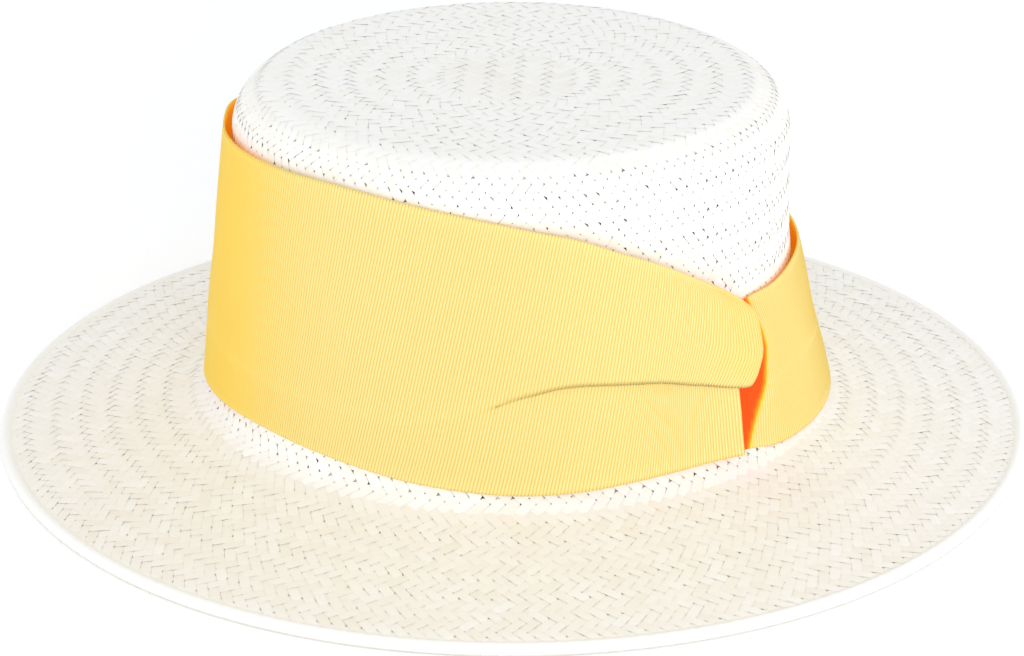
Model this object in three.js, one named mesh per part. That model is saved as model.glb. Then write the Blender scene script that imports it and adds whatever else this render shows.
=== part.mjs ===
// A boater of woven paper straw: low round crown, wide sloping brim with a turned hem,
// and one wide ribbon wrapped round the crown with its ends lapped at the front right.
// Millimetres, +Z up. The hem rests on Z = 0 and the crown's axis is the Z axis, its length along X.
import * as THREE from "three";

const CROWN_HALF_LENGTH = 92; // crown side, along X
const CROWN_HALF_WIDTH = 84.1; // crown side, along Y
const TOP_Z = 125.3; // flat crown top
const SHOULDER_RADIUS = 16.2;
const WALL = 1.8; // straw wall
const HEM_RADIUS = 2.2; // turned edge of the brim
const HEM_OUT = 79.1; // hem centre, outside the crown side
const HEM_FLAT = 2; // width of the ring that the hat rests on
const SEGMENTS = 72; // round the crown

const RIBBON_THICKNESS = 1;
const RIBBON_GAP = 0.5; // between ribbon and straw
const FOOT_EASE = 0.6; // the foot rides up on the fillet
const LAP_GAP = 1.9; // how far the outer end stands over the inner end
const RIBBON_STATIONS = 100;
const RIBBON_ROWS = 5; // across the ribbon

// Outer face from the shoulder's foot to the hem: distance outside the crown side, and height.
const OUTER_ROWS = [
  { place: "shoulder foot", out: 0, z: TOP_Z - SHOULDER_RADIUS },
  { place: "side", out: 0.1, z: 90 },
  { place: "waist", out: 0.9, z: 69 },
  { place: "flare", out: 4.6, z: 44 },
  { place: "foot", out: 9.3, z: 21.5 },
  { place: "fillet", out: 14.5, z: 15.6 },
  { place: "brim root", out: 24, z: 13 },
  { place: "brim middle", out: 50, z: 8.4 },
  { place: "brim edge", out: 73.5, z: 4.8 },
];

// The ribbon from its outer end, clockwise seen from above, to its inner end under the lap.
// Angles are degrees from +X; foot and top are heights over the floor.
// lift is how far the top edge stands off the crown, lap is 1 where the ribbon lies over its own inner end.
const RIBBON_TABLE = [
  { angle: -33, foot: 20, top: 69, lift: 2.5, lap: 1 },
  { angle: -36.5, foot: 20.5, top: 71, lift: 2.2, lap: 1 },
  { angle: -43.5, foot: 21.5, top: 79, lift: 1.6, lap: 1 },
  { angle: -50, foot: 22, top: 85.5, lift: 1, lap: 1 },
  { angle: -57, foot: 22, top: 92, lift: 0.7, lap: 1 },
  { angle: -65.5, foot: 21.5, top: 98.5, lift: 0.6, lap: 1 },
  { angle: -73.5, foot: 20.5, top: 104, lift: 0.5, lap: 0.7 },
  { angle: -81, foot: 20, top: 107, lift: 0.5, lap: 0.4 },
  { angle: -88.5, foot: 20, top: 109.5, lift: 0.5, lap: 0.1 },
  { angle: -104, foot: 21.5, top: 113.5, lift: 0.6, lap: 0 },
  { angle: -121.5, foot: 24, top: 116, lift: 0.8, lap: 0 },
  { angle: -139, foot: 25, top: 115, lift: 1.2, lap: 0 },
  { angle: -156, foot: 23.5, top: 113, lift: 1.5, lap: 0 },
  { angle: -174, foot: 21.5, top: 110.5, lift: 1.8, lap: 0 },
  { angle: -186, foot: 21, top: 110.5, lift: 1.8, lap: 0 },
  { angle: -202, foot: 20.5, top: 105, lift: 1.5, lap: 0 },
  { angle: -225, foot: 20, top: 95, lift: 1, lap: 0 },
  { angle: -270, foot: 19, top: 84, lift: 0.6, lap: 0 },
  { angle: -315, foot: 18, top: 74, lift: 1, lap: 0 },
  { angle: -343, foot: 17, top: 69.5, lift: 1.6, lap: 0 },
  { angle: -358, foot: 16.8, top: 69.5, lift: 1.8, lap: 0 },
  { angle: -370, foot: 16.9, top: 69.5, lift: 1.6, lap: 0 },
  { angle: -382, foot: 17.4, top: 68.5, lift: 1, lap: 0 },
  { angle: -391.5, foot: 18.4, top: 69, lift: 0.5, lap: 0 },
  { angle: -398, foot: 20, top: 68, lift: 0.2, lap: 0 },
  { angle: -418, foot: 23, top: 66, lift: 0, lap: 0 },
];

const straw = new THREE.MeshStandardMaterial({ color: 0xf4f3ee, roughness: 0.75, metalness: 0 });
const grosgrain = new THREE.MeshStandardMaterial({ color: 0xfedf80, roughness: 0.6, metalness: 0 });

// Smooth value of a column at a key, through the table's rows (Hermite with central slopes).
function smoothColumn(rows, key, column, at) {
  const sign = Math.sign(rows[rows.length - 1][key] - rows[0][key]);
  const inside = rows.findIndex((row) => sign * (row[key] - at) > 0);
  const i = Math.min(Math.max(inside < 0 ? rows.length - 1 : inside, 1), rows.length - 1);
  const a = rows[i - 1];
  const b = rows[i];
  const before = rows[Math.max(i - 2, 0)];
  const after = rows[Math.min(i + 1, rows.length - 1)];
  const span = b[key] - a[key];
  const t = Math.min(Math.max((at - a[key]) / span, 0), 1);
  const slopeA = ((b[column] - before[column]) / (b[key] - before[key])) * span;
  const slopeB = ((after[column] - a[column]) / (after[key] - a[key])) * span;
  const h1 = 2 * t ** 3 - 3 * t ** 2 + 1;
  const h2 = t ** 3 - 2 * t ** 2 + t;
  const h3 = 3 * t ** 2 - 2 * t ** 3;
  const h4 = t ** 3 - t ** 2;
  return h1 * a[column] + h2 * slopeA + h3 * b[column] + h4 * slopeB;
}

// Point of an oval round the axis: out is the distance outside the crown side, scale shrinks it to the axis.
function ovalPoint(out, z, angle, scale = 1) {
  const x = (CROWN_HALF_LENGTH + out) * scale * Math.cos(angle);
  const y = (CROWN_HALF_WIDTH + out) * scale * Math.sin(angle);
  return new THREE.Vector3(x, y, z);
}

// Outer face of the straw from the crown top's edge to the hem, as rows of out and z.
function outerProfile() {
  const rows = [];
  for (let step = 0; step < 6; step++) {
    const turn = (Math.PI / 2) * (1 - step / 6);
    const out = SHOULDER_RADIUS * (Math.cos(turn) - 1);
    rows.push({ out, z: TOP_Z - SHOULDER_RADIUS * (1 - Math.sin(turn)) });
  }
  const curve = new THREE.CatmullRomCurve3(OUTER_ROWS.map((row) => new THREE.Vector3(row.out, row.z, 0)));
  curve.curveType = "centripetal";
  for (const point of curve.getPoints(13)) rows.push({ out: point.x, z: point.y });
  return rows;
}

// Inner face: the outer face moved in by the wall along its own normal.
function innerProfile(outer) {
  return outer.map((row, i) => {
    const before = outer[Math.max(i - 1, 0)];
    const after = outer[Math.min(i + 1, outer.length - 1)];
    const run = i === 0 ? { out: 1, z: 0 } : { out: after.out - before.out, z: after.z - before.z };
    const length = Math.hypot(run.out, run.z);
    return { out: row.out + (WALL * run.z) / length, z: row.z - (WALL * run.out) / length };
  });
}

// The turned hem, from its upper side round the edge to the flat ring under it.
function hemProfile() {
  const rows = [];
  for (const degrees of [120, 90, 60, 30, 0, -30, -60, -90]) {
    const turn = THREE.MathUtils.degToRad(degrees);
    rows.push({ out: HEM_OUT + HEM_RADIUS * Math.cos(turn), z: HEM_RADIUS * (1 + Math.sin(turn)) });
  }
  rows.push({ out: HEM_OUT - HEM_FLAT, z: 0 });
  rows.push({ out: HEM_OUT - HEM_FLAT - 0.6, z: 1 });
  return rows;
}

// Closed mesh from rows of points: every row closes round the axis, and a point caps each end.
function closedAroundAxis(rows, firstPole, lastPole) {
  const count = rows[0].length;
  const points = [firstPole, ...rows.flat(), lastPole];
  const index = [];
  const at = (row, i) => 1 + row * count + (i % count);
  for (let i = 0; i < count; i++) {
    index.push(0, at(0, i), at(0, i + 1));
    index.push(points.length - 1, at(rows.length - 1, i + 1), at(rows.length - 1, i));
    for (let row = 0; row + 1 < rows.length; row++) {
      index.push(at(row, i), at(row + 1, i), at(row + 1, i + 1));
      index.push(at(row, i), at(row + 1, i + 1), at(row, i + 1));
    }
  }
  return new THREE.BufferGeometry().setFromPoints(points).setIndex(index);
}

function strawBody() {
  const outer = outerProfile();
  const inner = innerProfile(outer).reverse();
  const profile = [...outer, ...hemProfile(), ...inner];
  const angles = Array.from({ length: SEGMENTS }, (_, i) => (2 * Math.PI * i) / SEGMENTS);
  const rows = profile.map((row) => angles.map((angle) => ovalPoint(row.out, row.z, angle)));
  const geometry = closedAroundAxis(rows, new THREE.Vector3(0, 0, TOP_Z), new THREE.Vector3(0, 0, TOP_Z - WALL));
  const mesh = new THREE.Mesh(geometry, straw);
  mesh.name = "straw_body";
  return mesh;
}

// Inner face of the ribbon: a straight line from its foot to its top, both clear of the straw.
function ribbonPoint(angleDegrees, across, depth) {
  const column = (name) => smoothColumn(RIBBON_TABLE, "angle", name, angleDegrees);
  const footZ = column("foot");
  const topZ = column("top");
  const crownOut = (z) => smoothColumn(OUTER_ROWS, "z", "out", z);
  const lap = RIBBON_GAP + LAP_GAP * column("lap") + depth;
  const footOut = crownOut(footZ) + lap + FOOT_EASE;
  const topOut = crownOut(Math.min(topZ, OUTER_ROWS[0].z)) + lap + column("lift");
  const out = footOut + (topOut - footOut) * across;
  return ovalPoint(out, footZ + (topZ - footZ) * across, THREE.MathUtils.degToRad(angleDegrees));
}

function ribbonBand() {
  const first = RIBBON_TABLE[0].angle;
  const last = RIBBON_TABLE[RIBBON_TABLE.length - 1].angle;
  const loops = Array.from({ length: RIBBON_STATIONS + 1 }, (_, i) => {
    const angle = first + ((last - first) * i) / RIBBON_STATIONS;
    const rise = Array.from({ length: RIBBON_ROWS }, (_, k) => k / (RIBBON_ROWS - 1));
    const face = rise.map((across) => ribbonPoint(angle, across, RIBBON_THICKNESS));
    const back = rise.reverse().map((across) => ribbonPoint(angle, across, 0));
    return [...face, ...back];
  });
  const count = loops[0].length;
  const points = loops.flat();
  const index = [];
  for (let i = 0; i < RIBBON_STATIONS; i++) {
    for (let k = 0; k < count; k++) {
      const a = i * count + k;
      const b = i * count + ((k + 1) % count);
      index.push(a, b, b + count, a, b + count, a + count);
    }
  }
  for (let k = 0; k + 1 < RIBBON_ROWS; k++) {
    const far = count - 1 - k;
    const end = RIBBON_STATIONS * count;
    index.push(k, far, far - 1, k, far - 1, k + 1);
    index.push(end + k, end + far - 1, end + far, end + k, end + k + 1, end + far - 1);
  }
  const geometry = new THREE.BufferGeometry().setFromPoints(points).setIndex(index);
  const mesh = new THREE.Mesh(geometry, grosgrain);
  mesh.name = "ribbon_band";
  return mesh;
}

const hat = new THREE.Group();
hat.name = "straw_boater";
hat.add(strawBody(), ribbonBand());
export default hat;
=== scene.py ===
# %% [markdown]
# # A woven paper-straw boater with a wide ribbon
# The hat is two things: straw, woven in one piece from the crown's middle to the hem, and one length of
# ribbon lapped at the front right. The solids from the CAD step give the sizes; here the straw becomes
# real woven strips and the ribbon becomes ribbed cloth with a pleat.

# %% Load the frame
import bpy
import numpy as np
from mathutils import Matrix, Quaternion, Vector


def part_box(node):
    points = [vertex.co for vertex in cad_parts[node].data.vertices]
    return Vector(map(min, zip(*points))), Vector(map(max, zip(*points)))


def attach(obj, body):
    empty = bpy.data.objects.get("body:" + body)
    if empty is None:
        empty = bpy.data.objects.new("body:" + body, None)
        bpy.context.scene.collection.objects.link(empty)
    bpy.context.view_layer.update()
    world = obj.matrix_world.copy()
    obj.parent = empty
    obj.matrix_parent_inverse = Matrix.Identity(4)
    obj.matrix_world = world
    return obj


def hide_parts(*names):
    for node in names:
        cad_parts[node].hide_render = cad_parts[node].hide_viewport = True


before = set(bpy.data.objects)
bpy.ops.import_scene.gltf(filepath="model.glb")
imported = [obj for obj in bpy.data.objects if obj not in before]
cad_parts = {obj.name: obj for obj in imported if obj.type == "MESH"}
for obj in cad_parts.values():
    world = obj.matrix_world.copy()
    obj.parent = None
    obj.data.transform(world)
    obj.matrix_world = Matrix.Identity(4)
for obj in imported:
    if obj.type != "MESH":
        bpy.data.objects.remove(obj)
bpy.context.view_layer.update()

MM = 0.001
chance = np.random.default_rng(57)

# %% [markdown]
# ## The hat's outline
# Half of a slice through the hat: flat top, rounded shoulder, flared side, fillet and sloping brim. It
# could be drawn as a curve by hand. A short table is easier to check against the CAD, and a smooth curve
# through its rows gives the distance s along the outline, by which the weave is laid out later. The
# crown's length, width and height come from the frame, so the straw fits the solid that it stands for.

# %% Sizes of the straw
HEM_OUT = 79.1  # mm from the crown side to the middle of the hem
HEM_RADIUS = 2.2
SHOULDER = 16.2  # radius of the crown's upper edge
straw_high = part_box("straw_body")[1] / MM
HALF_LENGTH = round(straw_high.x - HEM_OUT - HEM_RADIUS, 1)
HALF_WIDTH = round(straw_high.y - HEM_OUT - HEM_RADIUS, 1)
TOP_Z = round(straw_high.z, 1)
SIDE_Z = round(TOP_Z - SHOULDER, 1)  # where the shoulder meets the side
BRIM_Z = 15.6  # where the side's fillet runs out into the brim
EDGE_Z = 4.3  # where the brim goes into the hem
print("crown half length %.1f, half width %.1f, height %.1f mm" % (HALF_LENGTH, HALF_WIDTH, TOP_Z))

# %% Outline of the straw
TOP_STEPS = 60  # points on the flat top
SHOULDER_STEPS = 24
OUTLINE = np.array([  # distance outside the crown side, height
    (0.0, SIDE_Z), (0.1, 90.0), (0.9, 69.0), (4.6, 44.0), (9.3, 21.5), (12.6, 17.5), (17.8, 14.8),
    (26.0, 12.7), (50.0, 8.4), (73.5, 4.8), (77.2, EDGE_Z), (79.0, 3.6), (79.6, 2.4), (79.6, 0.6)])


def smooth_through(points, per_span=24):
    """Points on a smooth curve: each span is a cubic, and the slope at a point is that of the parabola
    through it and its two neighbours, spaced in time by the square root of their distances."""
    p = np.vstack([2 * points[0] - points[1], points, 2 * points[-1] - points[-2]])
    t = np.linspace(0, 1, per_span, endpoint=False)[None, :, None]
    a, b, c, d = (p[i:len(p) - 3 + i, None, :] for i in range(4))
    width = [np.linalg.norm(q - r, axis=-1, keepdims=True) ** 0.5 for q, r in ((b, a), (c, b), (d, c))]
    slope_b = ((b - a) / width[0] - (c - a) / (width[0] + width[1]) + (c - b) / width[1]) * width[1]
    slope_c = ((c - b) / width[1] - (d - b) / (width[1] + width[2]) + (d - c) / width[2]) * width[1]
    cubic = ((2 * t**3 - 3 * t**2 + 1) * b + (t**3 - 2 * t**2 + t) * slope_b
             + (3 * t**2 - 2 * t**3) * c + (t**3 - t**2) * slope_c)
    return np.vstack([cubic.reshape(-1, points.shape[1]), points[-1:]])


quarter = np.linspace(np.pi / 2, 0, SHOULDER_STEPS, endpoint=False)
shoulder = np.stack([SHOULDER * (np.cos(quarter) - 1), TOP_Z - SHOULDER * (1 - np.sin(quarter))], 1)
side = np.vstack([shoulder, smooth_through(OUTLINE)])
flat_share = np.linspace(0, 1, TOP_STEPS, endpoint=False)
LINE_A = np.concatenate([(HALF_LENGTH - SHOULDER) * flat_share, HALF_LENGTH + side[:, 0]])
LINE_B = np.concatenate([(HALF_WIDTH - SHOULDER) * flat_share, HALF_WIDTH + side[:, 0]])
LINE_Z = np.concatenate([np.full(TOP_STEPS, TOP_Z), side[:, 1]])
print("outline points", len(LINE_Z))

# %% Distance along the outline
LINE_R = (LINE_A + LINE_B) / 2  # mean radius of the oval
LINE_S = np.concatenate([[0], np.cumsum(np.hypot(np.diff(LINE_R), np.diff(LINE_Z)))])
LINE_RUN_OUT = np.gradient(LINE_R, LINE_S)
LINE_RUN_UP = np.gradient(LINE_Z, LINE_S)
S_SHOULDER = float(LINE_S[TOP_STEPS])
S_SIDE = float(LINE_S[TOP_STEPS + SHOULDER_STEPS])
S_BRIM = float(np.interp(-BRIM_Z, -LINE_Z, LINE_S))
S_END = float(np.interp(-EDGE_Z, -LINE_Z, LINE_S))
print("mm from the middle: shoulder %.1f, side %.1f" % (S_SHOULDER, S_SIDE))
print("mm from the middle: brim %.1f, hem %.1f" % (S_BRIM, S_END))


def on_straw(s, angle, height):
    """Point of the straw: the outline at s, moved along its normal by height and turned round an oval."""
    normal_out = -np.interp(s, LINE_S, LINE_RUN_UP)
    normal_up = np.interp(s, LINE_S, LINE_RUN_OUT)
    x = (np.interp(s, LINE_S, LINE_A) + normal_out * height) * np.cos(angle)
    y = (np.interp(s, LINE_S, LINE_B) + normal_out * height) * np.sin(angle)
    z = np.interp(s, LINE_S, LINE_Z) + normal_up * height
    return np.stack([x, y, np.broadcast_to(z, x.shape)], -1)


def away_from_front(angle):
    """0 on the front quarter, rising evenly to 1 while the angle's sine goes from -0.7 to 0.1."""
    return 1 - np.clip((0.1 - np.sin(angle)) / 0.8, 0, 1)


# %% [markdown]
# ## Materials
# Every finish is a few nodes that read an attribute or a map laid on the piece itself, so a pattern stays
# with the piece when it is exported. Colours are written as a screen shows them, and one function turns
# them into light values. Another function adds a node with its settings and links.

# %% Colour and node helpers
def linear(hex_colour):
    """The sRGB curve undone: small values are divided by 12.92, the others follow a 2.4 power."""
    c = np.array([int(hex_colour[i:i + 2], 16) / 255 for i in (1, 3, 5)])
    return (*np.where(c <= 0.04045, c / 12.92, ((c + 0.055) / 1.055) ** 2.4).tolist(), 1.0)


def add_node(material, kind, links=(), stops=(), **settings):
    """Adds one node, sets its properties or input values by name, links (socket, from node, from socket),
    and gives a colour ramp its stops (position, colour) from first to last."""
    node = material.node_tree.nodes.new(kind)
    for name, value in settings.items():
        label = name.replace("_", " ")
        if label in node.inputs:
            node.inputs[label].default_value = value
        else:
            setattr(node, name, value)
    for socket, source, output in links:
        material.node_tree.links.new(source.outputs[output], node.inputs[socket])
    if stops:
        ends = node.color_ramp.elements
        ends[0].position, ends[0].color = stops[0]
        ends[1].position, ends[1].color = stops[-1]
        for position, colour in stops[1:-1]:
            node.color_ramp.elements.new(position).color = colour
    return node


def new_material(name):
    """A material with its Principled shader and output, both still at their defaults."""
    material = bpy.data.materials.new(name)
    material.use_nodes = True
    print("material", name)
    return material, material.node_tree.nodes["Principled BSDF"]


# %% [markdown]
# ## Paper straw
# Paper straw is twisted paper pressed flat: matte, nearly white, each strip a little different in tone. A
# picture of straw would repeat itself. Here every strip carries its own tone, and the fibres are noise
# drawn out along the strip on a map in millimetres.

# %% Woven paper straw
def paper_straw(name, light, dark, roughness):
    """The strip's tone mixes two whites; fibres about 1.5 mm long and 0.25 mm wide are noise stretched
    along the strip, and are drawn that coarse so that they show."""
    material, shader = new_material(name)
    tone = add_node(material, "ShaderNodeAttribute", attribute_name="tone")
    whites = [(0, linear(dark)), (1, linear(light))]
    ramp = add_node(material, "ShaderNodeValToRGB", [("Fac", tone, "Fac")], whites)
    strip = add_node(material, "ShaderNodeUVMap", uv_map="strip")
    stretch = add_node(material, "ShaderNodeMapping", [("Vector", strip, "UV")], Scale=(0.5, 3.0, 1.0))
    fibre = add_node(material, "ShaderNodeTexNoise", [("Vector", stretch, "Vector")], Scale=1.3, Detail=3.0)
    bump = add_node(material, "ShaderNodeBump", [("Height", fibre, "Fac")], Strength=0.25, Distance=0.0002)
    material.node_tree.links.new(ramp.outputs["Color"], shader.inputs["Base Color"])
    material.node_tree.links.new(bump.outputs["Normal"], shader.inputs["Normal"])
    shader.inputs["Roughness"].default_value = roughness
    shader.inputs["Specular IOR Level"].default_value = 0.35
    return material


# Pressed paper: chalky, with the faintest gloss where a strip bends; the inner face is a little greyer.
straw_outside = paper_straw("woven_paper_straw", "#fbfaf6", "#f3ede0", 0.6)
straw_inside = paper_straw("paper_straw_inner_face", "#f2efe6", "#e8e4d8", 0.7)
# The same paper pressed hard at the turned edge: brightest on top, with painted shade in soft grey under the
# turn.
straw_hem = paper_straw("pressed_straw_hem", "#fbfaf6", "#dedcd5", 0.55)

# %% Shade in the gaps
# What shows through the gaps of the weave: the crossings below as painted shade, lighter and darker in
# patches of 6 mm.
straw_gap, gap_shader = new_material("paper_straw_in_shade")
gap_place = add_node(straw_gap, "ShaderNodeTexCoord")
gap_patch = add_node(straw_gap, "ShaderNodeTexNoise", [("Vector", gap_place, "Object")], Scale=160.0)
gap_darkness_tone = add_node(straw_gap, "ShaderNodeAttribute", attribute_name="tone")
gap_parts = [(0, gap_darkness_tone, "Fac"), (1, gap_patch, "Fac")]
gap_share = add_node(straw_gap, "ShaderNodeMath", gap_parts, operation="MULTIPLY")
# Painted shade: the gap colour runs from pale to near black as the tone grows.
gap_tones = [(0.40, linear("#e9e5dc")), (0.58, linear("#3f3a31"))]
gap_ramp = add_node(straw_gap, "ShaderNodeValToRGB", [("Fac", gap_share, "Value")], gap_tones)
straw_gap.node_tree.links.new(gap_ramp.outputs["Color"], gap_shader.inputs["Base Color"])
gap_shader.inputs["Roughness"].default_value = 0.8

# %% [markdown]
# ## Grosgrain
# Grosgrain has a thick weft, which gives it ribs across its width and a soft sheen. The ribs themselves
# are in the mesh. The material adds the yarn's uneven tone and painted shade in the grooves, on a map of
# the ribbon laid flat in millimetres. Where the cloth only sees itself it looks orange, because light comes
# through it: a tone laid on the sheet paints that light and shade into those folds in orange, and a faint
# constant glow on faces turned inward is painted light that stands for the light from outside.

# %% Grosgrain ribbon
RIB = 1.05  # mm from rib to rib


def grosgrain(name, glow):
    """Yarn tone is noise one rib long and 33 mm across the ribbon, times a wave of painted shade that is
    darkest in the grooves and repeats every 2 pi / 20 / scale; the fold tone then mixes in yellow, orange
    and red as painted light and shade, and glow is the strength of a painted glow."""
    material, shader = new_material(name)
    flat_map = add_node(material, "ShaderNodeUVMap", uv_map="flat")
    on_flat = [("Vector", flat_map, "UV")]
    yarn_place = add_node(material, "ShaderNodeMapping", on_flat, Scale=(0.95, 0.03, 1.0))
    on_yarn = [("Vector", yarn_place, "Vector")]
    yarn = add_node(material, "ShaderNodeTexNoise", on_yarn, Scale=1.0, Detail=2.0)
    yarn_tones = [(0, linear("#f3e299")), (1, linear("#f5e7a5"))]
    yarn_ramp = add_node(material, "ShaderNodeValToRGB", [("Fac", yarn, "Fac")], yarn_tones)
    # Painted shade: the grooves between the ribs are painted darker than the ribs.
    groove = add_node(material, "ShaderNodeTexWave", on_flat, Scale=2 * np.pi / 20 / RIB)
    groove_shade_tones = [(0, linear("#efdaa6")), (1, linear("#ffffff"))]
    groove_painted_shade = add_node(material, "ShaderNodeValToRGB", [("Fac", groove, "Fac")], groove_shade_tones)
    ribbed = add_node(material, "ShaderNodeMix", [(6, yarn_ramp, "Color"), (7, groove_painted_shade, "Color")],
                      data_type="RGBA", blend_type="MULTIPLY", Factor=1.0)
    # Painted light and shade: the fold tone mixes in orange and red for light through the cloth and shade in
    # folds.
    fold = add_node(material, "ShaderNodeAttribute", attribute_name="tone")
    fold_painted_tones = [(0.26, linear("#ffd000")), (0.55, linear("#ffa012")), (1, linear("#ff5200"))]
    fold_ramp = add_node(material, "ShaderNodeValToRGB", [("Fac", fold, "Fac")], fold_painted_tones)
    fold_links = [(0, fold, "Fac")]
    fold_share = add_node(material, "ShaderNodeMath", fold_links, operation="MULTIPLY", use_clamp=True)
    fold_share.inputs[1].default_value = 2.0
    cloth_parts = [(0, fold_share, 0), (6, ribbed, 2), (7, fold_ramp, "Color")]
    cloth = add_node(material, "ShaderNodeMix", cloth_parts, data_type="RGBA")
    warp_place = add_node(material, "ShaderNodeMapping", on_flat, Scale=(0.4, 2.5, 1.0))
    on_warp = [("Vector", warp_place, "Vector")]
    warp = add_node(material, "ShaderNodeTexNoise", on_warp, Scale=1.0, Detail=1.0)
    warp_height = [("Height", warp, "Fac")]
    warp_bump = add_node(material, "ShaderNodeBump", warp_height, Strength=0.2, Distance=0.0001)
    material.node_tree.links.new(cloth.outputs[2], shader.inputs["Base Color"])
    material.node_tree.links.new(warp_bump.outputs["Normal"], shader.inputs["Normal"])
    shader.inputs["Roughness"].default_value = 0.6
    shader.inputs["Specular IOR Level"].default_value = 0.16
    shader.inputs["Sheen Weight"].default_value = 0.1
    shader.inputs["Sheen Tint"].default_value = linear("#ffe6a0")
    # Painted glow: a constant emission that stands for light coming through the cloth.
    shader.inputs["Emission Color"].default_value = linear("#ffa008")
    shader.inputs["Emission Strength"].default_value = glow
    return material


# Ribbed rayon: pale yellow on its face, with a soft sheen on the ribs and painted orange light and shade in
# the folds.
ribbon_cloth = grosgrain("woven_grosgrain", 0.0)
# The face turned to the crown, where an edge stands off and light comes through the cloth from outside: a
# painted glow.
ribbon_back_painted_glow = grosgrain("woven_grosgrain_painted_glow", 0.24)
# The same face where the ribbon lies close to the straw and little light comes through: a fainter painted
# glow.
ribbon_inner_painted_glow = grosgrain("woven_grosgrain_inner_painted_glow", 0.1)

# %% [markdown]
# ## The shaded layer inside the weave
# A woven wall is two strips thick everywhere, so a look through a gap meets another strip in shade. Every
# strip could be carried on under its neighbours, at twice the faces. One thin closed shell in the middle
# of the wall stands for those crossings instead, and keeps light from leaking. Its colour is painted
# shade, and its tone says how dark a gap is painted.

# %% Mesh helpers
def make_piece(name, points, faces, material, uv=None, tone=None, uv_name="strip"):
    """A mesh object at the origin from points in millimetres, with an optional map and tone per point."""
    mesh = bpy.data.meshes.new(name)
    mesh.from_pydata((points * MM).tolist(), [], faces)
    mesh.polygons.foreach_set("use_smooth", np.ones(len(mesh.polygons), bool))
    if uv is not None:
        corner = np.empty(len(mesh.loops), np.int32)
        mesh.loops.foreach_get("vertex_index", corner)
        mesh.uv_layers.new(name=uv_name).data.foreach_set("uv", uv[corner].astype(np.float32).ravel())
    if tone is not None:
        mesh.attributes.new("tone", "FLOAT", "POINT").data.foreach_set("value", tone.astype(np.float32))
    mesh.materials.append(material)
    piece = bpy.data.objects.new(name, mesh)
    bpy.context.collection.objects.link(piece)
    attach(piece, "root")
    print(name, len(mesh.loops) - 2 * len(mesh.polygons), "triangles")
    return piece


def wrap_faces(rows, columns):
    """Quads of a grid whose columns close round the axis, turned so that rows going outward face up."""
    r, c = np.meshgrid(np.arange(rows - 1), np.arange(columns), indexing="ij")
    n = (c + 1) % columns
    quad = np.stack([r * columns + c, (r + 1) * columns + c, (r + 1) * columns + n, r * columns + n], -1)
    return quad.reshape(-1, 4)


# %% Middle shell
SHELL_ROWS, SHELL_TURNS = 90, 150
SHELL_TOP, SHELL_BACK = -0.48, -1.18  # mm over the outline, at the crown's middle and on the inner face
SHELL_DEPTH = np.array([  # distance along the outline, height of the shell's outer face over it
    (S_SHOULDER, SHELL_TOP), (S_SIDE, -0.64), (S_BRIM - 4, -0.64), (S_BRIM + 16, -0.46)])
shell_turn = np.linspace(0, 2 * np.pi, SHELL_TURNS, endpoint=False)
shell_s = np.linspace(2.0, S_END + 2, SHELL_ROWS)
shell_depth = np.interp(shell_s, SHELL_DEPTH[:, 0], SHELL_DEPTH[:, 1])
outer_rows = on_straw(shell_s[:, None], shell_turn[None], shell_depth[:, None])
inner_rows = on_straw(shell_s[::-1, None], shell_turn[None], SHELL_BACK)
shell_poles = [[0, 0, TOP_Z + SHELL_TOP], [0, 0, TOP_Z + SHELL_BACK]]
shell_points = np.vstack([outer_rows.reshape(-1, 3), inner_rows.reshape(-1, 3), shell_poles])
near = np.arange(SHELL_TURNS)
after = np.roll(near, -1)
pole = 2 * SHELL_ROWS * SHELL_TURNS
last_ring = pole - SHELL_TURNS
outer_cap = np.stack([np.full(SHELL_TURNS, pole), near, after], 1)
inner_cap = np.stack([np.full(SHELL_TURNS, pole + 1), last_ring + after, last_ring + near], 1)
shell_faces = wrap_faces(2 * SHELL_ROWS, SHELL_TURNS).tolist() + outer_cap.tolist() + inner_cap.tolist()
print("shell points", len(shell_points))

# %% How dark the painted shade in the gaps is
INNER_GAP_DARKNESS = 0.45  # on the inner face
GAP_DARKNESS_ROWS = np.array([  # distance along the outline, how dark the gaps' painted shade is, share lost away from the front
    (0, 0.56, 0.3), (S_SHOULDER * 0.6, 0.66, 0.3), (S_SHOULDER + 4, 0.86, 0.3), (S_SIDE + 4, 1.12, 0.0),
    (S_BRIM - 12, 1.0, 0.0), (S_BRIM + 4, 0.95, 0.4), (S_BRIM + 30, 0.84, 0.42), (S_END, 0.52, 0.3)])
# Painted shade in the gaps: darkest on the crown side, lighter on the top, the brim and away from the front.
gap_darkness, darkness_lost_aside = (np.interp(shell_s, GAP_DARKNESS_ROWS[:, 0], GAP_DARKNESS_ROWS[:, k])[:, None] for k in (1, 2))
outer_gap_darkness = gap_darkness * (1 - darkness_lost_aside * away_from_front(shell_turn)[None])
shell_gap_darkness = np.concatenate([outer_gap_darkness.ravel(), np.full(len(shell_points) - outer_gap_darkness.size, INNER_GAP_DARKNESS)])
middle = make_piece("straw_middle_layer", shell_points, shell_faces, straw_gap, tone=shell_gap_darkness)
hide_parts("straw_body")

# %% [markdown]
# ## The woven strips
# The straw is a two-over-two twill on the bias. Seen flat, that is a herringbone: blocks twice as long as
# wide, slanting one way in one ring and the other way in the next, each end tucked under its neighbour's
# side. A bump picture could fake it, but the little shadows and pinholes are what make straw look like
# straw, so every visible block is a small curved patch, all of them computed at once.

# %% One patch for every block
STRIP = 3.35  # strip width in mm, so a block is 6.7 mm long
PITCH = STRIP * 2 ** 0.5  # along a ring, and from ring to ring
ALONG = np.array([-1.44, -1.12, -0.8, -0.3, 0.3, 0.78, 1.0, 1.14, 1.44])  # half lengths, tucked in beyond 1
ACROSS = np.linspace(-1, 1, 4)  # half widths
ARCH = 0.22  # mm by which a block's middle stands up
OUTER_SEAT, INNER_SEAT = -0.26, -1.54  # mm over the outline, where the blocks of the two faces sit


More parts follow.
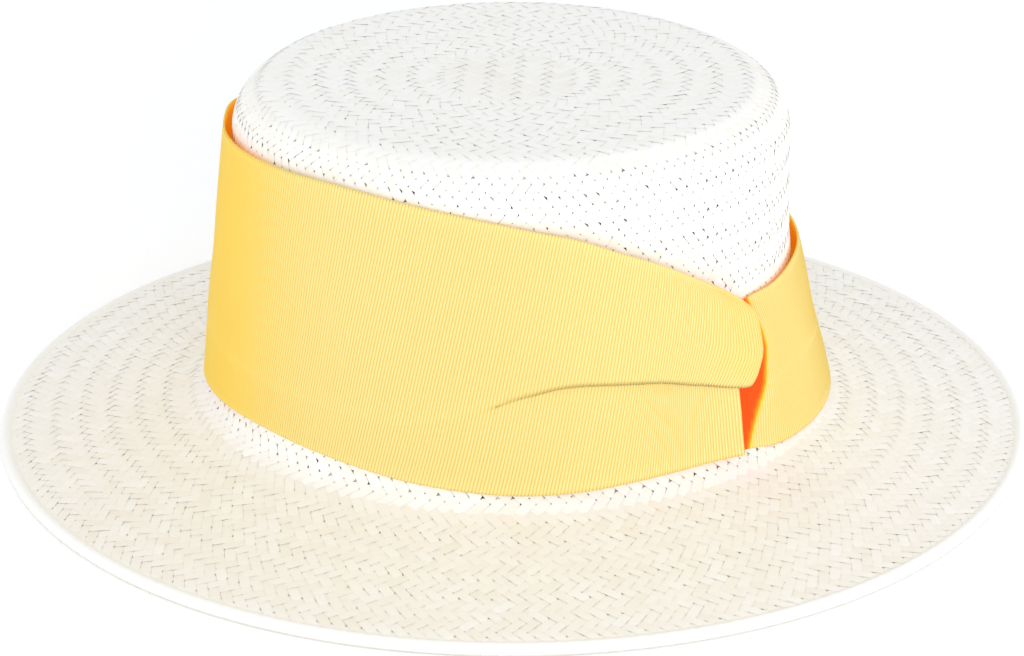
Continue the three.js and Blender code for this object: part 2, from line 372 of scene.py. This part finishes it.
def flat_blocks(slant, hole):
    """Blocks at 45 degrees: along l and across m go to (l + m)/root 2 round the ring and (l - m)/root 2
    outward, mirrored where slant is -1; the height falls as the fourth power toward the tucked ends, and
    one corner of an end is drawn in by hole, which leaves the pinholes. Each block differs a little in
    width, turn, height, corner and tone."""
    wider, turned, raised, own = chance.normal(0, 1, (4, len(slant)))[..., None, None]
    half = STRIP * ALONG[None, :, None]
    end = np.clip((ALONG - 0.78) / 0.22, 0, 1)[None, :, None] * (ACROSS > 0.9)
    drawn_in = hole * end * np.minimum(0.6 * own ** 2, 1.2)
    wide = STRIP * 0.5 * (1.01 - 0.03 * hole + 0.008 * wider - drawn_in) * ACROSS
    wide = wide * (1 - hole * np.clip((np.abs(ALONG) - 1) / 0.14, 0, 1)[None, :, None])
    along = half - 0.02 * turned * wide
    across = wide + 0.02 * turned * half
    side_way = slant[:, None, None]
    round_mm = (side_way * along + across) / 2**0.5
    out_mm = (along - side_way * across) / 2**0.5
    rise = ARCH * (1 - 0.44 * ALONG[None, :, None] ** 4) - 0.035 * ACROSS**2 + 0.02 * raised
    return round_mm, out_mm, rise, np.stack([half + 0 * wide, wide], -1), 0.12 * own[:, 0, 0]


def face_height(face, rise):
    """Height over the outline: just under it outside, and just short of the wall's back inside."""
    return OUTER_SEAT + rise if face > 0 else INNER_SEAT - rise


def block_piece(name, points, strip_map, number, row, tone, face, material):
    """All blocks joined into one piece, each with its own stretch of the strip map and its own tone."""
    a, b = len(ALONG), len(ACROSS)
    i, j = np.meshgrid(np.arange(a - 1), np.arange(b - 1), indexing="ij")
    quad = np.stack([i * b + j, i * b + j + 1, (i + 1) * b + j + 1, (i + 1) * b + j], -1).reshape(-1, 4)
    quad = quad if face < 0 else quad[:, ::-1]
    faces = (quad[None] + (np.arange(len(row)) * a * b)[:, None, None]).reshape(-1, 4)
    own_stretch = np.stack([9.7 * number, 4.3 * row], -1)  # mm, so that no two blocks share their fibres
    uv = (strip_map + own_stretch[:, None, None]).reshape(-1, 2)
    shade = np.repeat(np.clip(tone, 0, 1), a * b)
    piece = make_piece(name, points.reshape(-1, 3), faces.tolist(), material, uv, shade)
    print(name, len(row), "blocks")


# %% [markdown]
# ## Rings and the middle
# Rings farther out hold more blocks, as a weaver adds strips. Where the count changes, two rings can't
# match, and one more ring sunk a little deeper lies under the join, so no gap opens. Rings would crowd
# together at the crown's middle, so the weave starts there in straight rows, as a weaver begins.

# %% Woven rings
SUNK = 0.14  # mm by which a ring under a join lies deeper


def ring_rows(first_s, last_s, group):
    """Middle distance and block count of each ring, and the rings' depth; a group shares one count."""
    count = max(int(round((last_s - first_s) / PITCH)), 1)
    ring = np.arange(count)
    middle_s = first_s + (ring + 0.5) * (last_s - first_s) / count
    centre = np.minimum((ring // group) * group + (group - 1) / 2, count - 1)
    centre_s = np.interp(centre, ring, middle_s)
    blocks = np.round(2 * np.pi * np.interp(centre_s, LINE_S, LINE_R) / PITCH).astype(int)
    return middle_s, blocks, (last_s - first_s) / count


def weave(name, first_s, last_s, face, material, group=5, shade=0.7, hole=0.2, painted_lighter_aside=0.0):
    """Flat blocks carried onto rings of the outline; on the outer face one more ring lies sunk under each
    join, which is each change of count and both ends. Shade sets each region's painted base tone, and
    blocks away from the front are painted lighter: both are painted light and shade."""
    middle_s, blocks, depth = ring_rows(first_s, last_s, group)
    ring = np.arange(len(blocks))
    join = np.flatnonzero(np.diff(blocks))
    if face > 0:
        middle_s = np.concatenate([middle_s, (middle_s[join] + middle_s[join + 1]) / 2, [first_s, last_s]])
        ring = np.concatenate([ring, ring[join], ring[[0, -1]]])
        blocks = np.concatenate([blocks, blocks[join + 1], blocks[[0, -1]]])
    sunk = SUNK * (np.arange(len(ring)) > ring.max())
    row = np.repeat(np.arange(len(ring)), blocks)
    number = np.concatenate([np.arange(n) for n in blocks])
    odd = ring[row] % 2
    round_mm, out_mm, rise, strip_map, tone = flat_blocks(1.0 - 2.0 * odd, hole)
    step_angle = 2 * np.pi / blocks[row]
    theta = (number + 0.5 * odd)[:, None, None] + round_mm / PITCH
    s = np.clip(middle_s[row][:, None, None] + out_mm * depth / PITCH, 0.3, LINE_S[-1] - 0.05)
    height = face_height(face, rise - sunk[row][:, None, None])
    points = on_straw(s, theta * step_angle[:, None, None], height)
    tone = shade + painted_lighter_aside * away_from_front((number + 0.5 * odd) * step_angle) + tone
    block_piece(name, points, strip_map, number, row, tone, face, material)


# %% Woven middle of the crown
MIDDLE = 21.5  # mm from the axis to the first ring
MIDDLE_SUNK = 0.03  # mm by which the middle lies deeper than the rings
MIDDLE_ROWS = np.arange(-6, 7)  # enough rows and columns to fill that circle


def weave_middle(name, face, material):
    """The same blocks in straight rows: rows one pitch apart along X, columns along Y."""
    row, number = (n.ravel() for n in np.meshgrid(MIDDLE_ROWS, MIDDLE_ROWS, indexing="ij"))
    place_x, place_y = row * PITCH, (number + 0.5 * (row % 2)) * PITCH
    kept = np.hypot(place_x * HALF_WIDTH / HALF_LENGTH, place_y) < MIDDLE
    row, number, place_x, place_y = row[kept], number[kept], place_x[kept], place_y[kept]
    round_mm, out_mm, rise, strip_map, tone = flat_blocks(1.0 - 2.0 * (row % 2), 0.2)
    x, y = place_x[:, None, None] + out_mm, place_y[:, None, None] + round_mm
    points = np.stack([x, y, TOP_Z + face_height(face, rise - MIDDLE_SUNK)], -1)
    block_piece(name, points, strip_map, number, row, 0.7 + tone, face, material)


# %% Weave the straw
S_EDGE = S_SHOULDER + 7  # where the rings of the top meet those of the side
S_HEM = S_END + PITCH  # the last ring runs on into the hem
weave_middle("crown_middle_weave", 1, straw_outside)
# Painted light and shade in the base tones: near white on the crown top, darker on the brim, lighter at its
# sides.
weave("crown_top_weave", MIDDLE, S_EDGE, 1, straw_outside, shade=0.9, hole=0.3)
weave("crown_side_weave", S_EDGE, S_BRIM, 1, straw_outside, group=60, hole=0.62)
weave("brim_weave", S_BRIM, S_HEM, 1, straw_outside, shade=0.25, hole=0.3, painted_lighter_aside=0.4)
weave_middle("crown_inner_middle_weave", -1, straw_inside)
weave("crown_inner_top_weave", MIDDLE, S_EDGE, -1, straw_inside)
weave("crown_inner_side_weave", S_EDGE, S_BRIM, -1, straw_inside, group=60)
weave("brim_under_weave", S_BRIM, S_HEM, -1, straw_inside)

# %% [markdown]
# ## The turned hem
# The brim's edge is turned under and pressed, which leaves a round bead, lit brighter than the brim, whose
# tone is painted darker; the bead's underside is painted grey as shade. A bevelled curve could make it. A
# small circle carried round the brim's oval as one grid also lets the bead swell and be pressed flat where
# it stands on the floor.

# %% Hem bead
HEM_TURNS, HEM_SIDES = 420, 18  # points round the brim and round the bead
HEM_PRESSES = 210  # swellings round the brim
BRIM_RADIUS = 165  # mm, for the length of the strip map
hem_turn = np.linspace(0, 2 * np.pi, HEM_TURNS, endpoint=False)
hem_round = np.linspace(0, 2 * np.pi, HEM_SIDES, endpoint=False)
around, about = np.meshgrid(hem_round, hem_turn, indexing="ij")
bead = HEM_RADIUS + 0.09 * np.cos(HEM_PRESSES * about + 2 * around)
hem_out = HEM_OUT + bead * np.cos(around)
hem_z = np.maximum(HEM_RADIUS + bead * np.sin(around), 0.0)
hem_x, hem_y = (HALF_LENGTH + hem_out) * np.cos(about), (HALF_WIDTH + hem_out) * np.sin(about)
hem_points = np.stack([hem_x, hem_y, hem_z], -1).reshape(-1, 3)
hem_faces = wrap_faces(HEM_SIDES + 1, HEM_TURNS)[:, ::-1] % (HEM_SIDES * HEM_TURNS)
hem_uv = np.stack([about * BRIM_RADIUS, around * HEM_RADIUS], -1).reshape(-1, 2)
# Painted shade: the bead's tone falls toward its underside, where it is painted grey.
painted_shade_under_turn = np.clip((-np.sin(around) - 0.2) / 0.45, 0, 1)
hem_tone = (0.9 - 0.8 * painted_shade_under_turn).ravel()
hem = make_piece("turned_hem", hem_points, hem_faces.tolist(), straw_hem, hem_uv, hem_tone)

# %% [markdown]
# ## The ribbon
# One length of ribbed ribbon starts under the lap at the front right, runs behind the crown, comes round
# the left and ends on top of its own beginning. It has one width: at the front, where the wrap is lower
# than that, a level pleat near the lap takes up the rest, and behind the crown the sheet is simply lower.
# A cloth simulation would have to find this fold by itself. A sheet computed from a few tables keeps it
# where it belongs: the sheet is one grid, the ribs are ripples along its length, and the pleat is a fold
# across it.

# %% Ribbon tables
RIBBON_WIDTH = 95.0  # mm
RIBBON_THICK = 0.7
RIBBON_RADIUS = 96  # the mean radius, by which angles become lengths
RIBBON_ROWS = np.array([  # angle, foot, top, lift of the top edge, share of the lap
    (-33, 20, 69, 2.5, 1),
    (-36.5, 20.5, 71, 2.2, 1),
    (-43.5, 21.5, 79, 1.6, 1),
    (-50, 22, 85.5, 1, 1),
    (-57, 22, 92, 0.7, 1),
    (-65.5, 21.5, 98.5, 0.6, 1),
    (-73.5, 20.5, 104, 0.5, 0.7),
    (-81, 20, 107, 0.5, 0.4),
    (-88.5, 20, 109.5, 0.5, 0.1),
    (-104, 21.5, 113.5, 0.6, 0),
    (-121.5, 24, 116, 0.8, 0),
    (-139, 25, 115, 1.2, 0),
    (-156, 23.5, 113, 1.5, 0),
    (-174, 21.5, 110.5, 1.8, 0),
    (-186, 21, 110.5, 1.8, 0),
    (-202, 20.5, 105, 1.5, 0),
    (-225, 20, 95, 1, 0),
    (-270, 19, 84, 0.6, 0),
    (-315, 18, 74, 1, 0),
    (-343, 17, 69.5, 1.6, 0),
    (-358, 16.8, 69.5, 1.8, 0),
    (-370, 16.9, 69.5, 1.6, 0),
    (-382, 17.4, 68.5, 1, 0),
    (-391.5, 18.4, 69, 0.5, 0),
    (-398, 20.5, 68, 0.2, 0),
    (-418, 24, 66, 0, 0)])
PLEAT_ROWS = np.array([  # angle, height of the pleat's lower edge
    (-31, 45), (-41, 45.6), (-50, 49.5), (-60.5, 54.5), (-74.5, 56.5), (-81, 54.5), (-88, 49.5),
    (-106, 38)])
END_ROWS = np.array([  # row of the sheet (1 and 2 are the pleat's edges, 3 the top), angle of its end there
    (0, -40.6), (1, -42.4), (1.9, -42.4), (2, -38.2), (2.1, -37.0), (2.2, -36.1), (2.3, -35.2),
    (2.4, -34.6), (2.6, -34.3), (2.8, -34.2), (2.88, -34.5), (2.94, -35.5), (3, -38)])
LEAN_ROWS = np.array([  # angle, lean of the ribs against the upright
    (-31, 0), (-40, 0.06), (-50, 0.14), (-65, 0.2), (-85, 0.2), (-110, 0.2), (-140, 0.12), (-165, 0.02),
    (-186, -0.08), (-225, -0.14), (-300, -0.14), (-343, -0.04), (-370, 0), (-418, 0)])
MOUTH_ROWS = np.array([  # height, angle beyond which the band lies in the shade of the lap
    (20.8, -396.8), (34, -393.6), (41, -391.4), (52, -389.9), (58, -390.4), (64, -390.8), (70, -391.6),
    (75, -394)])
FIRST_ANGLE = END_ROWS[:, 1].max()
LAST_ANGLE = RIBBON_ROWS[-1, 0]
RIBBON_LENGTH = float(np.radians(FIRST_ANGLE - LAST_ANGLE) * RIBBON_RADIUS)
print("ribbon %.0f x %.0f mm" % (RIBBON_WIDTH, RIBBON_LENGTH))


# %% Ribbon heights
def at_angle(table, column, angle):
    """Smooth value of a table column at the angles, which fall from the first row to the last."""
    curve = smooth_through(table[:, [0, column]])
    return np.interp(-angle, -curve[:, 0], curve[:, 1])


def eased(x):
    """The smooth step three x squared less two x cubed, held at 0 and 1 outside."""
    x = np.clip(x, 0, 1)
    return x * x * (3 - 2 * x)


MOST_SLACK, LEAST_BACK = 28, 3.0  # mm of cloth that the pleat takes up, and that its back keeps
PLEAT_START = PLEAT_ROWS[-1, 0]
PLEAT_GROWTH = 34  # degrees over which the pleat deepens


def ribbon_heights(angle, row):
    """Height and distance across the cloth. Rows 0 to 1 run up from the foot, 1 to 2 back down through
    the pleat and 2 to 3 up to the top; what the wrap leaves of the width, its slack, goes into the pleat
    half and half."""
    foot, top = (at_angle(RIBBON_ROWS, k, angle) for k in (1, 2))
    slack = np.clip(RIBBON_WIDTH - (top - foot), 0, MOST_SLACK) * eased((angle - PLEAT_START) / PLEAT_GROWTH)
    back = np.maximum(slack / 2, LEAST_BACK)
    slope = 1 - slack / back
    pleat_top = at_angle(PLEAT_ROWS, 1, angle) + back * (1 - slope) / 2
    pleat_foot = pleat_top + slope * back
    low, pleat, high = (np.clip(row - k, 0, 1) for k in range(3))
    z = foot + (pleat_top - foot) * low + (pleat_foot - pleat_top) * pleat + (top - pleat_foot) * high
    across = (pleat_top - foot) * low + back * pleat + (top - pleat_foot) * high
    return z, across


# %% Ribbon stand-off
FOOT_STAND, TOP_STAND = 0.95, 0.7  # mm from the straw to the middle of the sheet, at its two edges
LAP_STAND = 1.9  # mm more where the ribbon lies over its inner end
LAYERS_OUT, LAYERS_IN = 1.7, 0.5  # mm gained through the pleat, and given back toward the top
LAYERS_START, LAYERS_GROWTH = -104, 40  # degrees
LEFT_TURN, RIGHT_TURN = -172, -352  # where the ribbon goes out of sight at the sides
LAP_GAPE, LAP_END = -50, -36  # the lap stands off from the first of these angles to the other
MOUTH = -391  # where the inner end goes under the lap
ROLL_MM = 6  # the lap's end rolls in over this length


def hump(x, centre, width):
    """A bell, e to the minus square of the distance from the centre in widths."""
    return np.exp(-((x - centre) / width) ** 2)


def ribbon_stand(angle, row, z):
    """Distance outside the crown side: a straight line from the foot to the top, which clear the straw by
    flare and lift, plus the lap, the pleat's layers, a puff and a gape at the open ends, dents and the
    fold's knuckle; near its end the lap's fold rolls in on a quarter circle."""
    foot, top, lift, lap = (at_angle(RIBBON_ROWS, k, angle) for k in (1, 2, 3, 4))
    height = np.clip((z - foot) / (top - foot), 0, 1)
    belly = np.sin(np.pi * height) ** 2
    flare = FOOT_STAND + 1.8 * hump(angle, LEFT_TURN, 24) + 1.0 * hump(angle, RIGHT_TURN, 20)
    foot_out = np.interp(-foot, -side[:, 1], side[:, 0]) + flare
    top_out = np.interp(-np.minimum(top, SIDE_Z), -side[:, 1], side[:, 0]) + TOP_STAND + lift
    layers = LAYERS_OUT * np.clip(row - 1, 0, 1) - LAYERS_IN * np.clip(row - 2, 0, 1)
    layers = layers * eased((angle - LAYERS_START) / LAYERS_GROWTH)
    puff = 2.4 * hump(angle, LAP_END, 9) * belly
    gape = 2.2 * eased((angle - LAP_GAPE) / (LAP_END - LAP_GAPE))
    gape = gape + 2.4 * hump(angle, MOUTH, 6) * eased(height / 0.4) * eased((1 - height) / 0.25)
    dents = 0.3 * np.sin(0.16 * angle + 0.11 * z) + 0.25 * np.sin(0.23 * angle - 0.06 * z + 1)
    from_end = np.radians(np.interp(row, END_ROWS[:, 0], END_ROWS[:, 1]) - angle) * RIBBON_RADIUS
    quarter_circle = np.sqrt(1 - (1 - np.clip(from_end / ROLL_MM, 0, 1)) ** 2)
    roll = np.where(row < 2, 1.0, 0.3 + 0.7 * quarter_circle)
    knuckle = hump(from_end, 10, 4) * eased((row - 2.3) / 0.4)
    stand = foot_out + (top_out - foot_out) * height + LAP_STAND * lap + (layers + puff + gape) * roll
    return stand + dents * belly - 0.9 * knuckle


# %% Ribbon grid
POINTS_PER_RIB = 3
RIB_HEIGHT = 0.16  # mm
ROWS = np.concatenate([[0, 0.04, 0.2, 0.4, 0.6, 0.8, 0.94, 1, 1.2, 1.5, 1.8, 2, 2.04, 2.1],
                       np.arange(2.2, 2.85, 0.1), [2.88, 2.94, 2.98, 3]])
END_REACH = -66  # angle from which the columns start to follow the shape of the lap's end
LEAN_Z = 60  # mm, the height about which the ribs lean
columns = int(RIBBON_LENGTH / RIB * POINTS_PER_RIB)
angle, row = np.meshgrid(np.linspace(FIRST_ANGLE, LAST_ANGLE, columns), ROWS, indexing="ij")
end_share = eased((angle - END_REACH) / (FIRST_ANGLE - END_REACH))
end_shift = (np.interp(row, END_ROWS[:, 0], END_ROWS[:, 1]) - FIRST_ANGLE) * end_share
lean = at_angle(LEAN_ROWS, 1, angle) * (ribbon_heights(angle, row)[0] - LEAN_Z)
angle_at = angle + end_shift + np.degrees(lean / RIBBON_RADIUS)
along_mm = np.radians(FIRST_ANGLE - angle) * RIBBON_RADIUS
level, across_mm = ribbon_heights(angle_at, row)
stand = ribbon_stand(angle_at, row, level)
ribs = RIB_HEIGHT * np.cos(2 * np.pi * along_mm / RIB) * eased(np.minimum(row, 3 - row) / 0.08)
ribs *= eased(np.abs(row - 1.9) / 0.18)
print("ribbon grid", columns, "columns,", len(ROWS), "rows")

# %% Ribbon faces
steps = np.stack([np.diff(level, axis=1), np.diff(stand, axis=1)])
steps /= np.hypot(*steps)
run = np.concatenate([steps[..., :1], steps[..., 1:] + steps[..., :-1], steps[..., -1:]], -1)
run_z, run_out = run / np.hypot(*run)


def ribbon_face(offset):
    """The sheet's middle moved by offset along its normal, the profile's direction turned a quarter."""
    out, z = stand + offset * run_z, level - offset * run_out
    t = np.radians(angle_at)
    return np.stack([(HALF_LENGTH + out) * np.cos(t), (HALF_WIDTH + out) * np.sin(t), z], -1)


outer = ribbon_face(RIBBON_THICK / 2 + ribs)
inner = ribbon_face(-RIBBON_THICK / 2)
loop = np.concatenate([outer, inner[:, ::-1]], 1)
loop_size = loop.shape[1]
column_no, place = np.meshgrid(np.arange(columns - 1), np.arange(loop_size), indexing="ij")
this_one = column_no * loop_size + place
next_one = column_no * loop_size + (place + 1) % loop_size
walls = np.stack([this_one, next_one, next_one + loop_size, this_one + loop_size], -1).reshape(-1, 4)
cap_row = np.arange(len(ROWS) - 1)
start_cap = np.stack([cap_row, loop_size - 1 - cap_row, loop_size - 2 - cap_row, cap_row + 1], 1)
end_cap = (columns - 1) * loop_size + start_cap[:, ::-1]
ribbon_faces = np.vstack([walls, start_cap, end_cap]).tolist()
flat_along = np.repeat(along_mm[:, :1], loop_size, 1)
flat_across = np.concatenate([across_mm, across_mm[:, ::-1]], 1)
flat = np.stack([flat_along, flat_across], -1).reshape(-1, 2)
print("ribbon faces", len(ribbon_faces))


# %% Folds of the ribbon
def between(angle, first, first_ease, last, last_ease):
    """1 between two falling angles and 0 outside, with an eased step of the given length inside each."""
    return eased((first - angle) / first_ease) * eased((angle - last) / last_ease)


def painted_fold_light_and_shade(angle, row, z):
    """Orange painted on the outer face for light and shade in the folds: painted shade in the mouth under
    the lap and the pleat's inside, painted light through the cloth at the turn at the left, the turn at the
    right and the lap's end, each a bell or a product of smooth steps, added up."""
    mouth = eased((np.interp(z, MOUTH_ROWS[:, 0], MOUTH_ROWS[:, 1]) - angle) / 2.4)
    left = 0.25 * hump(angle, -154, 18) + 0.1 * between(angle, -150, 22, -232, 34)
    pleat = 0.3 * eased((row - 0.97) / 0.03) * eased((2 - row) / 0.06) * eased((angle + 84) / 6)
    right = 0.05 * between(angle, -330, 12, -394, 6)
    lap_end = 0.06 * eased((angle - LAP_GAPE) / 10) * eased((row - 2) / 0.2)
    return mouth + left + pleat + right + lap_end


lit_left = between(angle, -140, 12, -236, 12)
lit_right = eased((-316 - angle) / 12)
lit_lap = eased((angle + 52) / 8)
lit = np.maximum.reduce([lit_left, lit_right, lit_lap])  # where the top edge stands off and lets light in
# Painted light: the inner faces are tinted orange, most where light comes through.
back_painted_glow = (0.12 + 0.36 * lit)[:, ::-1]
ribbon_painted_light_and_shade = np.concatenate([painted_fold_light_and_shade(angle_at, row, outer[..., 2]), back_painted_glow], 1).ravel()
print("share of the ribbon lit through %.2f" % lit.mean())

# %% Ribbon sheet
FACE, LIT_THROUGH, SHADE = 0, 1, 2  # the ribbon's materials, in this order
PLEAT_ANGLE = -86  # the pleat opens from here to the lap's end
ribbon = make_piece("ribbon", loop.reshape(-1, 3), ribbon_faces, ribbon_cloth, flat, ribbon_painted_light_and_shade, "flat")
ribbon.data.materials.append(ribbon_back_painted_glow)
ribbon.data.materials.append(ribbon_inner_painted_glow)
strip_no = np.arange(loop_size)
turned_in = (strip_no >= len(ROWS)) & (strip_no < loop_size - 1)
in_pleat = (strip_no >= np.searchsorted(ROWS, 1)) & (strip_no < np.searchsorted(ROWS, 1.8))
# Inner faces take the stronger painted glow where light comes in, the fainter elsewhere; the pleat's inside
# too.
wall_cloth = np.where(turned_in[None], np.where(lit[:-1, :1] > 0.5, LIT_THROUGH, SHADE), FACE)
wall_cloth = np.where(in_pleat[None] & (angle[:-1, :1] > PLEAT_ANGLE), LIT_THROUGH, wall_cloth)
cap_cloth = np.full(len(start_cap) + len(end_cap), FACE)
face_cloth = np.concatenate([wall_cloth.ravel(), cap_cloth]).astype(np.int32)
ribbon.data.polygons.foreach_set("material_index", face_cloth)
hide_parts("ribbon_band")

# %% [markdown]
# ## Floor, light and camera
# A pale floor and a white surround give the even, bright light of a product picture, and the surround
# fills the shadows. One large soft light stands high near the camera, and two small ones stand low at the
# sides, where the crown and the ribbon turn away. The camera stands where the outlines of brim and crown
# in the picture agree with the hat's sizes.

# %% Floor
FLOOR_HALF = 6  # metres
floor_mesh = bpy.data.meshes.new("floor")
floor_corners = [(x * FLOOR_HALF, y * FLOOR_HALF, 0) for x, y in ((-1, -1), (1, -1), (1, 1), (-1, 1))]
floor_mesh.from_pydata(floor_corners, [], [(0, 1, 2, 3)])
floor = bpy.data.objects.new("floor", floor_mesh)
bpy.context.collection.objects.link(floor)
# Matte paper: white with a grain of 5 mm that hardly shows; its faint glow keeps the shade pale.
floor_paper, floor_shader = new_material("matte_studio_paper")
floor_place = add_node(floor_paper, "ShaderNodeTexCoord")
floor_grain = add_node(floor_paper, "ShaderNodeTexNoise", [("Vector", floor_place, "Object")], Scale=200.0)
floor_tones = [(0, linear("#f8f8f8")), (1, linear("#fbfbfb"))]
floor_ramp = add_node(floor_paper, "ShaderNodeValToRGB", [("Fac", floor_grain, "Fac")], floor_tones)
floor_paper.node_tree.links.new(floor_ramp.outputs["Color"], floor_shader.inputs["Base Color"])
floor_shader.inputs["Roughness"].default_value = 0.9
floor_shader.inputs["Emission Color"].default_value = linear("#ffffff")
floor_shader.inputs["Emission Strength"].default_value = 0.13
floor_mesh.materials.append(floor_paper)

# %% Light
HORIZON_LIGHT = (1.32, 1.32, 1.32, 1.0)  # light values, a little over white
ZENITH_LIGHT = (0.866, 0.892, 0.928, 1.0)  # cooler overhead
world = bpy.data.worlds.new("white_surround")
bpy.context.scene.world = world
world.use_nodes = True
backdrop = world.node_tree.nodes["Background"]
sky_place = add_node(world, "ShaderNodeTexCoord")
sky_height = add_node(world, "ShaderNodeSeparateXYZ", [("Vector", sky_place, "Generated")])
sky_lights = [(0, HORIZON_LIGHT), (1, ZENITH_LIGHT)]
sky_ramp = add_node(world, "ShaderNodeValToRGB", [("Fac", sky_height, "Z")], sky_lights)
world.node_tree.links.new(sky_ramp.outputs["Color"], backdrop.inputs["Color"])
backdrop.inputs["Strength"].default_value = 0.85


def soft_light(name, place, size, watts):
    """A square area light at place, in metres, turned toward the middle of the hat."""
    lamp = bpy.data.lights.new(name, "AREA")
    lamp.size = size
    lamp.energy = watts
    holder = bpy.data.objects.new(name, lamp)
    holder.location = place
    holder.rotation_euler = (Vector((0, 0, 0.06)) - Vector(place)).to_track_quat("-Z", "Y").to_euler()
    bpy.context.collection.objects.link(holder)
    print("light", name, watts, "W")


soft_light("soft_key", (0.42, -1.9, 0.68), 1.0, 11.2)
soft_light("side_fill_right", (1.8, -0.25, 0.16), 0.3, 3.8)
soft_light("side_fill_left", (-1.8, -0.25, 0.16), 0.3, 1.9)

# %% Camera
ELEVATION, AZIMUTH, ROLL = np.radians((23.72, 4.15, 0.31))
DISTANCE = 1.3735  # metres from the point looked at
FOCAL_PX = 4107.0  # focal length in pixels of the picture
PICTURE_WIDTH, PICTURE_HEIGHT = 1024, 656
SENSOR = 36.0  # mm
LOOK_AT = Vector((0, 0, 0.0633))
LOOK_PX_Y = 249.7  # where that point lies in the picture
aside, ahead = float(np.sin(AZIMUTH)), -float(np.cos(AZIMUTH))
flatly, upward = float(np.cos(ELEVATION)), float(np.sin(ELEVATION))
to_camera = Vector((aside * flatly, ahead * flatly, upward))
camera_up = Vector((-aside * upward, -ahead * upward, flatly))
camera_data = bpy.data.cameras.new("camera")
camera_data.sensor_width = SENSOR
camera_data.lens = FOCAL_PX / PICTURE_WIDTH * SENSOR
camera = bpy.data.objects.new("camera", camera_data)
camera.location = LOOK_AT + to_camera * DISTANCE
aim = LOOK_AT - camera_up * ((PICTURE_HEIGHT / 2 - LOOK_PX_Y) / FOCAL_PX * DISTANCE)
facing = (aim - camera.location).to_track_quat("-Z", "Y")
camera.rotation_euler = (facing @ Quaternion((0, 0, 1), -float(ROLL))).to_euler()
bpy.context.collection.objects.link(camera)
bpy.context.scene.camera = camera
bpy.context.scene.view_settings.view_transform = "Standard"
print("camera at", [round(c, 3) for c in camera.location])
